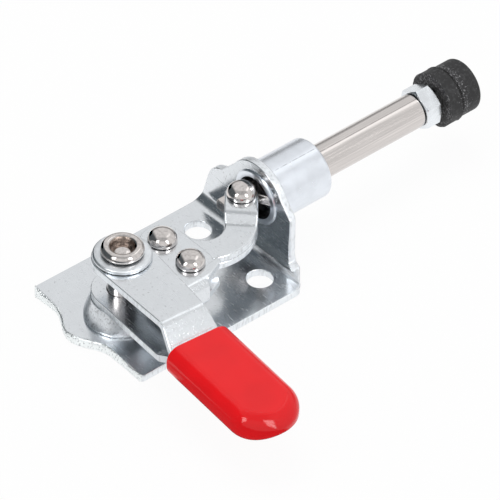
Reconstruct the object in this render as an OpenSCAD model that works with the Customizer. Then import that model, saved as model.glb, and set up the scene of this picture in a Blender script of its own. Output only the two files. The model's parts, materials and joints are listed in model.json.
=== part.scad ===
// Push-pull toggle clamp with a folded sheet base, a dipped grip and a rubber-tipped plunger.
// Origin: centre of the four mounting holes on the base's underside. +X runs to the tip, +Z is up.

/* [Base] */
// Thickness of the base sheet
base_t = 1.5; // [1.2:0.1:2]
// Width of the base across Y
base_w = 29; // [28:0.5:34]
// Gap between the link's end and the flange when locked
flange_gap = 0.5; // [0.4:0.1:4]
// From the main pivot back to the base's rear corners
rear_reach = 7.8; // [7:0.2:12]
// How far the rear edge bulges behind its corners
rear_bulge = 2.9; // [0:0.1:4]
// Sideways place of the bulge's middle
bulge_y = 1.3; // [-2:0.1:2]
// Half length of the bulge
bulge_half = 7.6; // [4:0.2:9]
// Outer radius of the fold under the flange
fold_r = 3.8; // [2.2:0.1:4]
// Radius of the flange's round top
flange_r = 7; // [6.5:0.1:9]
// Height of the flange's shoulders over the base sheet
shoulder_h = 9.8; // [8:0.2:12]
// Half width at the shoulder on the grip's far side
shoulder_far = 9.2; // [8:0.1:11]
// Half width at the shoulder on the grip's side
shoulder_near = 9; // [8:0.1:11]

/* [Mounting holes] */
// Hole spacing along X
hole_dx = 16.5; // [15:0.5:18]
// Hole spacing along Y
hole_dy = 16.4; // [15:0.2:18]
// Diameter of the mounting holes
hole_d = 4.7; // [4:0.1:5.5]
// From the main pivot to the front pair of holes
hole_reach = 24; // [22:0.5:25]

/* [Linkage] */
// Crank radius, main pivot to crank rivet
crank_r = 8.9; // [8:0.1:10]
// Link length, crank rivet to plunger pin
link_l = 17.7; // [17:0.1:18.5]
// Thickness of the link, crank and handle sheet
sheet_t = 1.4; // [1.1:0.1:1.6]
// Height of the plunger's axis over the base's underside
axis_z = 11.25; // [10.5:0.05:13]
// Stop rivet's distance from the crank rivet, away from the line of pull
stop_drop = 7.4; // [6.8:0.1:8]
// Diameter of the stop rivet's spacer
stop_d = 4.4; // [3.6:0.1:4.8]
// Radius of the crank's lobes round its rivets
lobe_r = 4; // [3.4:0.1:4.4]
// Radius of the link's end round the plunger pin
link_end_r = 2.9; // [2.7:0.1:3.1]
// Radius of the link's curved back
link_back_r = 10.2; // [9.6:0.1:11]

/* [Rivets] */
// Diameter of the small rivets' shanks
shank_d = 3.2; // [2.6:0.1:3.6]
// Diameter of the small rivets' domes
dome_d = 5.2; // [4.6:0.1:5.6]
// Height of the domes
dome_h = 2.1; // [1.2:0.1:2.3]
// Diameter of the heads under the crank and link
tail_d = 4.4; // [4:0.1:5]
// Height of the heads under the crank and link
tail_h = 1.1; // [0.6:0.1:1.3]
// Diameter of the main rivet's shank
pivot_d = 5.1; // [4.4:0.1:5.6]
// Diameter of the rolled head of the main rivet
roll_d = 7.3; // [6.6:0.1:8]
// Diameter of the recess in the main rivet
recess_d = 4.3; // [3.4:0.1:4.4]
// Diameter of the spacer's foot
spacer_d = 13.2; // [12:0.1:14]
// Diameter of the spacer under the handle
spacer_top_d = 10.8; // [9:0.1:12]
// Diameter of the washer over the handle
washer_d = 10.3; // [8.5:0.1:10.6]
// Thickness of the washer
washer_t = 1; // [0.6:0.1:1.4]

/* [Handle] */
// Radius of the arms' round ends
arm_r = 5.35; // [4.8:0.05:5.6]
// Length of the arms' flat stretch
arm_flat = 17.4; // [16.5:0.2:20]
// Length of the sloped stretch before the grip
arm_slope = 3.3; // [3:0.1:5]
// Half width of the upper arm at its first bend
arm_waist = 4.4; // [4:0.1:5]
// Half width of the bar in the grip
bar_half = 5; // [4.4:0.1:5.2]
// From the main pivot to the bar's folded end
bar_reach = 45; // [40:0.5:55]
// Height of the bar's middle over the base's underside
bar_z = 9.45; // [9:0.05:10.5]
// Angle by which the handle leans back from the crosswise line
lean = 4.5; // [0:0.5:8]

/* [Grip] */
// Wall of the dipped grip
grip_wall = 1.5; // [1:0.1:2]
// From the arms' second bend to the grip's open end
grip_gap = 1.1; // [0.9:0.1:5]

/* [Barrel and plunger] */
// Outer diameter of the barrel
barrel_d = 11.2; // [10:0.1:12]
// Length of the barrel in front of the flange
barrel_l = 11; // [8:0.5:20]
// Diameter of the plunger
rod_d = 6.3; // [5.8:0.1:6.6]
// Length of the plunger in front of the barrel
rod_out = 23.6; // [16:0.2:32]
// Diameter of the barrel's mouth at the flange
mouth_d = 8.3; // [7.4:0.1:8.6]
// Thickness of the tongue at the plunger's rear
tongue_t = 2; // [1.6:0.1:2.2]

/* [Tip] */
// Thread diameter of the tip screw
screw_d = 4; // [3:0.1:4.4]
// Width of the locknut across its flats
nut_af = 7; // [6:0.1:8]
// Thickness of the locknut
nut_t = 3.2; // [2.2:0.1:4]
// Gap between the locknut and the rubber
nut_gap = 0.9; // [0.5:0.1:3]
// Diameter of the rubber's rear section
rubber_rear_d = 10.4; // [9:0.1:13]
// Diameter of the rubber's front section
rubber_front_d = 9.8; // [8.5:0.1:13]
// Length of the rubber's rear section
rubber_rear_l = 3; // [2.6:0.1:5]
// Length of the rubber's front section
rubber_front_l = 4.4; // [3:0.1:8]

/* [Clearances] */
// Radial clearance of a turning or sliding fit
fit = 0.05; // [0.02:0.01:0.1]
// Gap between flat faces that slide on each other
side_gap = 0.05; // [0.02:0.01:0.1]
// Gap between the link and the stop spacer
stop_gap = 0.1; // [0.05:0.05:0.3]

/* [Hidden] */
$fn = 64;
zinc = [0.80, 0.82, 0.84];
steel = [0.78, 0.75, 0.73];
red = [0.90, 0.13, 0.14];
black = [0.16, 0.16, 0.17];
grip_start = arm_flat + arm_slope + grip_gap;
// Places along X, counted from the main pivot, and the pivot's own place in the part's frame
pivot_x = hole_dx / 2 - hole_reach;
pin_x = crank_r + link_l;
flange_reach = pin_x + link_end_r + flange_gap;
flange_out = flange_reach + base_t;
barrel_end = flange_out + barrel_l;
rod_end = barrel_end + rod_out;
nut_end = rod_end + nut_t;
rubber_start = nut_end + nut_gap;
// Heights: tongue in the middle, link plates round it, crank lugs round the link, arms outside
tongue_z = axis_z - tongue_t / 2;
low_plate_z = tongue_z - side_gap - sheet_t;
up_plate_z = low_plate_z + sheet_t;
raised_z = axis_z + tongue_t / 2 + 2 * side_gap;
low_lug_z = low_plate_z - side_gap - sheet_t;
up_lug_z = up_plate_z + sheet_t + side_gap;
low_arm_z = low_lug_z - sheet_t;
up_arm_z = up_lug_z + sheet_t;
arm_top = up_arm_z + sheet_t;
washer_z = arm_top + side_gap;
// Bent sheets: steps in each bend, and the radii of their middle lines
bend_steps = 6;
arm_bend_r = 2;
crank_bend_r = 1.4;
joggle_bend_r = 1.2;
// Half of the gap left inside the bar's fold
fold_slit = 0.1;
// Crank: outer face of its web, and its outline beside the arms
web_y = -stop_drop - 5.7;
web_right = crank_r - 0.3;
crank_left = 0.6;
nose_r = 1.2;
nose_at = [crank_r + 3.4, -stop_drop - 1.9];
pivot_relief = 0.7;
// Link: centre of its back, low and high lines of its step, and the hollow that clears the main rivet
back_at = [pin_x - 8.52, 1.33];
step_low = pin_x - 8.6;
step_high = pin_x - 6;
hollow_r = pivot_d / 2 + 1.3;
// Link: direction and lengths of its neck, depth of its waist, and the step beside its foot
neck_angle = -131.35;
neck_outer = 4.5;
neck_inner = 5.6;
neck_root = 6;
waist = 0.8;
foot_inset = 0.6;
foot_drop = 1.4;
// How far straight edges end inside the round ends they run into
tuck = 0.003;
// Plunger: shoulder in front of the pin, and the tongue's end behind it
shoulder_dx = 6;
tongue_end_dx = 3;
tongue_cut = 1;
pin_r = shank_d / 2;
// Corners of the way that the pin takes past the tongue as the link swings, from the pin's place
pin_corners = [[pin_r + 3.4, -rod_d], [pin_r + 2.5, -2.2], [pin_r + 1.7, -0.7], [pin_r + 0.8, 0.35],
               [0.78 * pin_r, 0.72 * pin_r]];
// Main rivet: recess under the washer's top, flat collar under the roll, and the roll's trimmed inside
recess_below = 1.2;
collar_t = 0.25;
floor_rise = 0.5;
lip_cut = 0.06;
dome_flat = 0.01;
roll_sink = 0.1;
// Upright foot of the tapered spacer
spacer_foot = 0.6;
// Barrel's rolled rim behind the flange
rim_t = 0.35;
rim_w = 1.1;
screw_depth = 14;
screw_hole_extra = 1;
screw_head_d = 6.4;
screw_head_t = 1.8;
nut_chamfer = 0.55;
rubber_round = 0.7;
edge = 0.3;
// Extra radius of the grip's soft edges over its wall
grip_soft = 0.6;
// Flange: how far its far side leans in, height and width of the flare under its near side,
// and how deep its straight flanks run into the round top
far_lean = 2.6;
flare_h = 1.5;
flare_w = 1;
flank_in = 0.25;
// How far a cut reaches past the face it opens
cut = 1;

// Turning a path into a bent sheet seen from its edge
function unit(v) = v / norm(v);
function left(v) = [-v.y, v.x];
function bend(a, b, c, r) =
    let(u = unit(a - b), w = unit(c - b), half = acos(u * w) / 2,
        centre = b + unit(u + w) * r / sin(half),
        p = b + u * r / tan(half) - centre, q = b + w * r / tan(half) - centre,
        start = atan2(p.y, p.x), turn = (atan2(q.y, q.x) - start + 540) % 360 - 180)
    [for (i = [0:bend_steps]) centre + r * [cos(start + turn * i / bend_steps), sin(start + turn * i / bend_steps)]];
function rounded(path, r) =
    concat([path[0]],
           [for (i = [1:len(path) - 2]) each bend(path[i - 1], path[i], path[i + 1], r)],
           [path[len(path) - 1]]);
function beside(path, d) =
    [for (i = [0:len(path) - 1])
        let(last = len(path) - 1,
            a = left(unit(i == 0 ? path[1] - path[0] : path[i] - path[i - 1])),
            b = left(unit(i == last ? path[last] - path[last - 1] : path[i + 1] - path[i])),
            m = unit(a + b))
        path[i] + m * d / (m * a)];
function arc(c, r, a0, a1) =
    [for (i = [0:2 * bend_steps]) let(a = a0 + (a1 - a0) * i / (2 * bend_steps)) c + r * [cos(a), sin(a)]];
function backwards(list) = [for (i = [len(list) - 1:-1:0]) list[i]];

// A sheet bent along a path of [along, height] points, as wide as w each side of its middle
module bent_sheet(path, r, w) {
    line = rounded(path, r);
    rotate([90, 0, 0])
        linear_extrude(2 * w, center = true)
            polygon(concat(beside(line, sheet_t / 2), backwards(beside(line, -sheet_t / 2))));
}

// A slab from an outline, from one height to another
module slab(z0, z1) {
    translate([0, 0, z0]) linear_extrude(z1 - z0) children();
}

// A bore or pin along X, from one place to another
module along_x(x0, x1, d) {
    translate([x0, 0, axis_z]) rotate([0, 90, 0]) cylinder(h = x1 - x0, d = d);
}

// A domed head that stands on a flat face, with a tiny flat at its top
module dome(d, h) {
    ball = (d * d / 4 + h * h) / (2 * h);
    rotate_extrude()
        intersection() {
            translate([0, h - ball]) circle(ball);
            square([d / 2, h - dome_flat]);
        }
}

// A headed rivet through sheets between two heights
module rivet(z0, z1) {
    translate([0, 0, z0]) cylinder(h = z1 - z0, d = shank_d);
    translate([0, 0, z1]) dome(dome_d, dome_h);
    translate([0, 0, z0]) mirror([0, 0, 1]) dome(tail_d, tail_h);
}

// Plan of the base: straight sides, and a rear edge that bulges in the middle
function rear_x(y) =
    let(d = min(abs(y - bulge_y) / bulge_half, 1))
    -rear_reach - rear_bulge * (0.5 + 0.5 * cos(180 * d));
module base_plan() {
    steps = 40;
    polygon(concat([for (i = [0:steps]) let(y = base_w * (i / steps - 0.5)) [rear_x(y), y]],
                   [[flange_out, base_w / 2], [flange_out, -min(shoulder_near + flare_w, base_w / 2)],
                    [flange_out - fold_r, -base_w / 2]]));
}

// Front view of the flange: a round top with straight flanks down to two shoulders. The far side
// leans in, the side near the grip is upright over a short flare.
function rise(z, h) = min(max(z - base_t, 0) / h, 1);
function far_side(z) = let(t = rise(z, shoulder_h))
    base_w / 2 - far_lean * t - (base_w / 2 - far_lean - shoulder_far) * pow(t, 10);
function near_side(z) = shoulder_near + (base_w / 2 - shoulder_near) * pow(1 - rise(z, flare_h), 3);
function flank_angle(y, z) = atan2(z - axis_z, y) + acos(min(flange_r / norm([y, z - axis_z]), 1));
module flange_front() {
    steps = 16;
    top = base_t + shoulder_h;
    r = flange_r - flank_in;
    far = flank_angle(shoulder_far, top);
    near = flank_angle(shoulder_near, top);
    translate([0, axis_z]) circle(flange_r);
    polygon(concat([[base_w / 2, 0]],
                   [for (i = [0:steps]) let(z = base_t + shoulder_h * i / steps) [far_side(z), z]],
                   [[r * cos(far), axis_z + r * sin(far)], [-r * cos(near), axis_z + r * sin(near)],
                    [-shoulder_near, top]],
                   [for (i = [steps:-1:0]) let(z = base_t + flare_h * i / steps) [-near_side(z), z]],
                   [[-base_w / 2, 0]]));
}

module base_plate() {
    fold_x = flange_out - fold_r;
    rear = rear_reach + rear_bulge;
    color(zinc) difference() {
        intersection() {
            rotate([90, 0, 0]) linear_extrude(base_w, center = true) {
                translate([-rear, 0]) square([rear + fold_x, base_t]);
                translate([flange_reach, fold_r]) square([base_t, axis_z + flange_r - fold_r]);
                intersection() {
                    translate([fold_x, 0]) square(fold_r);
                    translate([fold_x, fold_r])
                        difference() {
                            circle(fold_r);
                            circle(fold_r - base_t);
                        }
                }
            }
            linear_extrude(axis_z + flange_r) base_plan();
            translate([-rear, 0, 0]) rotate([90, 0, 90]) linear_extrude(rear + flange_out) flange_front();
        }
        for (x = [hole_reach - hole_dx, hole_reach], y = [-hole_dy / 2, hole_dy / 2])
            translate([x, y, -cut]) cylinder(h = base_t + 2 * cut, d = hole_d);
        translate([0, 0, -cut]) cylinder(h = base_t + 2 * cut, d = pivot_d);
        rivet_cone();
        along_x(flange_reach - cut, flange_out + cut, mouth_d);
    }
}

// The barrel's rear is rolled over the edge of the flange's hole
module plunger_barrel() {
    color(zinc) difference() {
        union() {
            along_x(flange_out, barrel_end, barrel_d);
            along_x(flange_reach - rim_t, flange_out, mouth_d);
            along_x(flange_reach - rim_t, flange_reach, mouth_d + 2 * rim_w);
        }
        along_x(flange_reach - cut, barrel_end + cut, rod_d + 2 * fit);
        along_x(flange_reach - cut, pin_x + shoulder_dx, mouth_d - 2 * edge);
    }
}

module rivet_cone() {
    cylinder(h = base_t / 2, d1 = pivot_d + base_t, d2 = pivot_d);
}

module pivot_spacer() {
    color(zinc) rotate_extrude()
        polygon([[pivot_d / 2, base_t], [spacer_d / 2, base_t], [spacer_d / 2, base_t + spacer_foot],
                 [spacer_top_d / 2, low_arm_z - side_gap], [pivot_d / 2, low_arm_z - side_gap]]);
}

// Solid shank with a domed recess in its top, and a lip rolled outwards over the washer
module main_rivet() {
    roll_r = (roll_d - recess_d) / 4;
    seat = washer_z + washer_t;
    roll_z = seat + collar_t - roll_sink + roll_r;
    floor_z = seat - recess_below;
    ball = (recess_d * recess_d / 4 + floor_rise * floor_rise) / (2 * floor_rise);
    color(steel) rotate_extrude() difference() {
        union() {
            square([pivot_d / 2, roll_z]);
            polygon([[0, 0], [(pivot_d + base_t) / 2, 0], [pivot_d / 2, base_t / 2], [0, base_t / 2]]);
            translate([0, seat]) square([pivot_d / 2 + roll_r, collar_t]);
            translate([recess_d / 2 + roll_r, roll_z]) circle(roll_r);
        }
        difference() {
            translate([0, floor_z]) square([recess_d / 2 + lip_cut, roll_z]);
            intersection() {
                translate([0, floor_z + floor_rise - ball]) circle(ball);
                square([recess_d, floor_z + floor_rise - dome_flat]);
            }
        }
    }
}

module pivot_washer() {
    color(zinc) slab(washer_z, washer_z + washer_t)
        difference() {
            circle(d = washer_d);
            circle(d = pivot_d);
        }
}

// Plan of the upper arm and the bar, with the handle along +X
module upper_arm_plan() {
    bend_end = arm_flat + arm_slope;
    circle(arm_r);
    polygon([[0, -arm_r], [arm_flat, -arm_waist], [bend_end, -bar_half], [bar_reach - bar_half, -bar_half],
             [bar_reach - bar_half, bar_half], [bend_end, bar_half], [arm_flat, arm_waist], [0, arm_r]]);
    translate([bar_reach - bar_half, 0]) circle(bar_half);
}

module lower_arm_plan() {
    circle(arm_r);
    polygon([[0, -arm_r], [arm_flat, -bar_half], [bar_reach - bar_half, -bar_half],
             [bar_reach - bar_half, bar_half], [arm_flat, bar_half], [0, arm_r]]);
    translate([bar_reach - bar_half, 0]) circle(bar_half);
}

// Places the handle, which is drawn along +X, on its leaning line
module on_handle() {
    rotate([0, 0, -90 - lean]) children();
}

// One strip folded back on itself at the end of the grip: both arms and the doubled bar
module handle_strip() {
    bend_end = arm_flat + arm_slope;
    up_bar = bar_z + fold_slit + sheet_t / 2;
    low_bar = bar_z - fold_slit - sheet_t / 2;
    up_mid = up_arm_z + sheet_t / 2;
    low_mid = low_arm_z + sheet_t / 2;
    path = [[-arm_r, up_mid], [arm_flat, up_mid], [bend_end, up_bar], [bar_reach - fold_slit - sheet_t, up_bar]];
    back = [[bar_reach - fold_slit - sheet_t, low_bar], [bend_end, low_bar], [arm_flat, low_mid], [-arm_r, low_mid]];
    color(zinc) difference() {
        on_handle() {
            intersection() {
                bent_sheet(path, arm_bend_r, arm_r);
                slab(bar_z, arm_top) upper_arm_plan();
            }
            intersection() {
                bent_sheet(back, arm_bend_r, arm_r);
                slab(low_arm_z, bar_z) lower_arm_plan();
            }
            intersection() {
                translate([bar_reach - fold_slit - sheet_t, 0, bar_z]) rotate([90, 0, 0])
                    linear_extrude(2 * bar_half, center = true)
                        difference() {
                            translate([0, -sheet_t - fold_slit]) intersection() {
                                translate([0, sheet_t + fold_slit]) circle(sheet_t + fold_slit);
                                square(2 * (sheet_t + fold_slit));
                            }
                            circle(fold_slit);
                        }
                slab(low_arm_z, arm_top) upper_arm_plan();
            }
        }
        cylinder(h = arm_top + cut, d = pivot_d + 2 * fit);
    }
}

// Outline of the crank beside the arms: round lobes, a small nose, and the web's corner
module crank_plan() {
    polygon(concat(arc([crank_r, 0], lobe_r, 200, 0),
                   arc([crank_r, -stop_drop], lobe_r, 0, -25),
                   arc(nose_at, nose_r, 10, -60),
                   [[web_right, web_y + cut], [web_right, web_y - cut], [crank_left, web_y - cut],
                    [crank_left, -pivot_d], [pivot_d, -pivot_d / 2]]));
}

// Two lugs joined by a web, with the link between them
module crank_bracket() {
    web = web_y + sheet_t / 2;
    path = [[2 * lobe_r, up_lug_z + sheet_t / 2], [web, up_lug_z + sheet_t / 2],
            [web, low_lug_z + sheet_t / 2], [2 * lobe_r, low_lug_z + sheet_t / 2]];
    color(zinc) difference() {
        intersection() {
            rotate([0, 0, 90]) bent_sheet(path, crank_bend_r, crank_r + 2 * lobe_r);
            slab(0, arm_top) crank_plan();
        }
        cylinder(h = arm_top, d = pivot_d + 2 * pivot_relief);
        translate([crank_r, 0, 0]) cylinder(h = arm_top, d = shank_d);
        translate([crank_r, -stop_drop, 0]) cylinder(h = arm_top, d = shank_d);
    }
}

// Dipped sleeve that follows the bar, with soft edges and a round nose
module grip() {
    thick = sheet_t + fold_slit;
    soft = grip_wall + grip_soft;
    nose_x = bar_reach - bar_half;
    color(red) on_handle() difference() {
        intersection() {
            hull() for (z = [-1, 1]) translate([0, 0, bar_z + z * (thick + grip_wall - soft)]) {
                for (y = [-1, 1])
                    translate([grip_start - soft, y * (bar_half + grip_wall - soft), 0]) sphere(soft, $fn = 24);
                translate([nose_x, 0, 0])
                    rotate_extrude($fn = 48) translate([bar_half + grip_wall - soft, 0]) circle(soft, $fn = 24);
            }
            translate([grip_start, -2 * arm_r, 0]) cube([bar_reach, 4 * arm_r, arm_top + grip_wall]);
        }
        slab(bar_z - thick, bar_z + thick) {
            translate([grip_start - cut, -bar_half]) square([nose_x - grip_start + cut, 2 * bar_half]);
            translate([nose_x, 0]) circle(bar_half);
        }
    }
}

module crank_rivet() {
    color(steel) translate([crank_r, 0, 0]) rivet(low_lug_z, up_lug_z + sheet_t);
}

module stop_rivet() {
    color(steel) translate([crank_r, -stop_drop, 0]) rivet(low_lug_z, up_lug_z + sheet_t);
}

module stop_spacer() {
    color(steel) translate([crank_r, -stop_drop, 0]) slab(low_lug_z + sheet_t, up_lug_z)
        difference() {
            circle(d = stop_d);
            circle(d = shank_d);
        }
}

// Outline of the link: foot round the crank rivet, curved back, and a slanting neck to the plunger pin
module link_plan() {
    side = crank_r + stop_d / 2 + stop_gap;
    neck = [cos(neck_angle), sin(neck_angle)];
    across = left(neck) * (link_end_r - tuck);
    pin = [pin_x, 0];
    difference() {
        union() {
            translate([crank_r, 0]) circle(lobe_r);
            translate(pin) circle(link_end_r);
            polygon([pin + across, pin - across, pin - across + neck * neck_root, pin + across + neck * neck_outer]);
            intersection() {
                translate(back_at) circle(link_back_r);
                polygon([[crank_r + foot_inset, foot_inset / 4 - lobe_r], [side, -lobe_r - foot_drop],
                         [side, -2 * link_back_r], [pin_x, -2 * link_back_r],
                         pin + across + neck * neck_outer / 2, pin - across + neck * neck_inner,
                         [2 * crank_r + hollow_r / 2, -waist], [crank_r + lobe_r - waist / 4, -waist]]);
            }
        }
        translate([2 * crank_r, 0]) circle(hollow_r);
        translate([crank_r, 0]) circle(d = shank_d + 2 * fit);
        translate(pin) circle(d = shank_d);
    }
}

module link_lower_plate() {
    color(zinc) slab(low_plate_z, up_plate_z) link_plan();
}

// The upper plate steps up over the plunger's tongue, on a slanting line
module link_upper_plate() {
    low_mid = up_plate_z + sheet_t / 2;
    high_mid = raised_z + sheet_t / 2;
    path = [[-lobe_r, low_mid], [step_low / sqrt(2), low_mid], [step_high / sqrt(2), high_mid],
            [pin_x + link_end_r, high_mid]];
    color(zinc) intersection() {
        rotate([0, 0, 45]) bent_sheet(path, joggle_bend_r, pin_x + link_end_r);
        slab(up_plate_z, raised_z + sheet_t) link_plan();
    }
}

module plunger_pin() {
    color(steel) translate([pin_x, 0, 0]) rivet(low_plate_z, raised_z + sheet_t);
}

// The room that the pin needs beside the tongue as the link swings, from the pin's own place
module pin_way() {
    circle(pin_r + fit);
    polygon(concat([[-pin_r - 2 * fit, 0], [-pin_r - 2 * fit, -rod_d]], pin_corners));
}

// Round bar with a flat tongue that reaches back between the link's plates
module plunger_rod() {
    shoulder = pin_x + shoulder_dx;
    color(steel) difference() {
        union() {
            along_x(shoulder, rod_end, rod_d);
            intersection() {
                along_x(pin_x - tongue_end_dx, shoulder, rod_d);
                slab(tongue_z, tongue_z + tongue_t)
                    polygon([[pin_x - tongue_end_dx, rod_d], [shoulder, rod_d], [shoulder, -rod_d],
                             [pin_x, -rod_d], [pin_x - tongue_end_dx, -tongue_cut]]);
            }
        }
        translate([pin_x, 0, 0]) slab(0, 2 * axis_z) pin_way();
        along_x(rod_end - screw_depth - screw_hole_extra, rod_end + cut, screw_d + 2 * fit);
    }
}

// Headed screw whose head is moulded into the rubber
module tip_screw() {
    color(steel) {
        along_x(rod_end - screw_depth, rubber_start, screw_d);
        along_x(rubber_start, rubber_start + screw_head_t, screw_head_d);
    }
}

module locknut() {
    tip_d = nut_af / cos(30);
    color(zinc) difference() {
        intersection() {
            translate([rod_end, 0, axis_z]) rotate([0, 90, 0]) cylinder(h = nut_t, d = tip_d, $fn = 6);
            translate([rod_end, 0, axis_z]) rotate([0, 90, 0])
                rotate_extrude()
                    polygon([[0, 0], [nut_af / 2, 0], [tip_d / 2, nut_chamfer / 2], [tip_d / 2, nut_t - nut_chamfer / 2],
                             [nut_af / 2, nut_t], [0, nut_t]]);
        }
        along_x(rod_end - cut, nut_end + cut, screw_d + 2 * fit);
    }
}

module tip_rubber() {
    rear = rubber_rear_d / 2;
    front = rubber_front_d / 2;
    length = rubber_rear_l + rubber_front_l;
    color(black) difference() {
        translate([rubber_start, 0, axis_z]) rotate([0, 90, 0])
            rotate_extrude() {
                polygon([[0, 0], [rear, 0], [rear, rubber_rear_l - edge], [front, rubber_rear_l],
                         [front, length - rubber_round], [front - rubber_round, length], [0, length]]);
                translate([front - rubber_round, length - rubber_round]) circle(rubber_round);
            }
        along_x(rubber_start - cut, rubber_start + screw_head_t, screw_head_d);
    }
}

translate([pivot_x, 0, 0]) base_plate();
translate([pivot_x, 0, 0]) plunger_barrel();
translate([pivot_x, 0, 0]) pivot_spacer();
translate([pivot_x, 0, 0]) main_rivet();
translate([pivot_x, 0, 0]) pivot_washer();
translate([pivot_x, 0, 0]) handle_strip();
translate([pivot_x, 0, 0]) crank_bracket();
translate([pivot_x, 0, 0]) grip();
translate([pivot_x, 0, 0]) crank_rivet();
translate([pivot_x, 0, 0]) stop_rivet();
translate([pivot_x, 0, 0]) stop_spacer();
translate([pivot_x, 0, 0]) link_upper_plate();
translate([pivot_x, 0, 0]) link_lower_plate();
translate([pivot_x, 0, 0]) plunger_pin();
translate([pivot_x, 0, 0]) plunger_rod();
translate([pivot_x, 0, 0]) tip_screw();
translate([pivot_x, 0, 0]) locknut();
translate([pivot_x, 0, 0]) tip_rubber();
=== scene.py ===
import json
import math
import random

import bmesh
import bpy
from mathutils import Matrix, Vector, noise


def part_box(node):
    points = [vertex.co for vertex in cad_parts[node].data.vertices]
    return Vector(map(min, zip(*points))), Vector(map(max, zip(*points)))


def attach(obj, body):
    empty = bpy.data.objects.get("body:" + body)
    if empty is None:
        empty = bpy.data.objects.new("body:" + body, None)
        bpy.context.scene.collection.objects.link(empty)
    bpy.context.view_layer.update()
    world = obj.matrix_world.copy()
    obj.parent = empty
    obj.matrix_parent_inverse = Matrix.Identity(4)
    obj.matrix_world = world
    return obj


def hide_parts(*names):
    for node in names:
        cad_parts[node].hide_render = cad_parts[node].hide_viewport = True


bl_info = {
    "name": "Push-Pull Toggle Clamp",
    "version": (1, 0, 0),
    "blender": (4, 5, 0),
    "location": "3D View > Sidebar > Clamp",
    "description": "Dresses a push-pull toggle clamp in plated sheet, steel, vinyl and rubber",
    "category": "Object",
}

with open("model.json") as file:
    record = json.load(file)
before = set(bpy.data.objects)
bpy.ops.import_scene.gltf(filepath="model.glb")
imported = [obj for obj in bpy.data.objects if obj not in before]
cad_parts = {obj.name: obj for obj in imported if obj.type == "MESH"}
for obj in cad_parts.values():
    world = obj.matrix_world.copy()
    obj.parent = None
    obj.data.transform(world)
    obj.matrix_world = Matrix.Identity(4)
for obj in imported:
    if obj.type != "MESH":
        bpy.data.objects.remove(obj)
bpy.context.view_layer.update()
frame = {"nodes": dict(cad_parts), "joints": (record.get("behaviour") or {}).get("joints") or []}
NODES = frame["nodes"]
JOINTS = {joint["name"]: joint for joint in frame["joints"]}


def mm(value):
    """Millimetres as metres."""
    return value / 1000


# The main pivot in plan, and the height of the plunger's axis
PIVOT = Vector(JOINTS["handle_swing"]["pos_m"]).xy
AXIS_Z = JOINTS["locknut_turn"]["pos_m"][2]

# From the rubber's rear to its parting line, in millimetres
PARTING = 3.0

# Points that are closer than this count as level with each other
LEVEL = mm(0.01)


def middle(node):
    """Middle of a CAD node's box in plan."""
    low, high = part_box(node)
    return ((low + high) / 2).xy


def upright_size(node):
    """Radius, bottom and top of a round CAD node that stands upright, in millimetres."""
    low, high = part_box(node)
    return (high.x - low.x) * 500, low.z * 1000, high.z * 1000


def ends(node):
    """Rear and front of a CAD node along the plunger's axis, in millimetres."""
    low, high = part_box(node)
    return low.x * 1000, high.x * 1000


# Shader maths


class Signal:
    """A shader output that can be used in an ordinary expression."""

    def __init__(self, graph, socket):
        self.graph, self.socket = graph, socket

    def other(self, name):
        """Another output of the same node."""
        return Signal(self.graph, self.socket.node.outputs[name])

    def math(self, operation, *values):
        """The result of a Math node."""
        sockets = dict(enumerate(values))
        return self.graph.node("ShaderNodeMath", {"operation": operation}, sockets)

    def __add__(self, other):
        return self.math("ADD", self, other)

    def __sub__(self, other):
        return self.math("SUBTRACT", self, other)

    def __rsub__(self, other):
        return self.math("SUBTRACT", other, self)

    def __mul__(self, other):
        return self.math("MULTIPLY", self, other)

    def __abs__(self):
        return self.math("ABSOLUTE", self)

    __radd__, __rmul__ = __add__, __mul__

    def ramp(self, low, high, start=0.0, end=1.0):
        """Goes smoothly from start to end as the value goes from low to high."""
        return self.graph.node(
            "ShaderNodeMapRange",
            {"interpolation_type": "SMOOTHSTEP"},
            {"Value": self, "From Min": low, "From Max": high, "To Min": start, "To Max": end},
        )


class Graph:
    """A node tree with one way to add a node."""

    def __init__(self, tree):
        self.tree = tree

    def plug(self, socket, value):
        """Links a signal to the socket, or sets its constant."""
        if isinstance(value, Signal):
            self.tree.links.new(value.socket, socket)
        else:
            socket.default_value = value

    def node(self, kind, settings=None, sockets=None, output=0):
        """Adds a node with its settings and then its sockets, and gives one of its outputs."""
        made = self.tree.nodes.new(kind)
        for name, value in (settings or {}).items():
            setattr(made, name, value)
        for key, value in (sockets or {}).items():
            self.plug(made.inputs[key], value)
        return Signal(self, made.outputs[output])

    def along(self, vector, axis):
        """How far a vector reaches along an axis."""
        settings, sockets = {"operation": "DOT_PRODUCT"}, {0: vector, 1: tuple(axis)}
        return self.node("ShaderNodeVectorMath", settings, sockets, output="Value")


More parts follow.
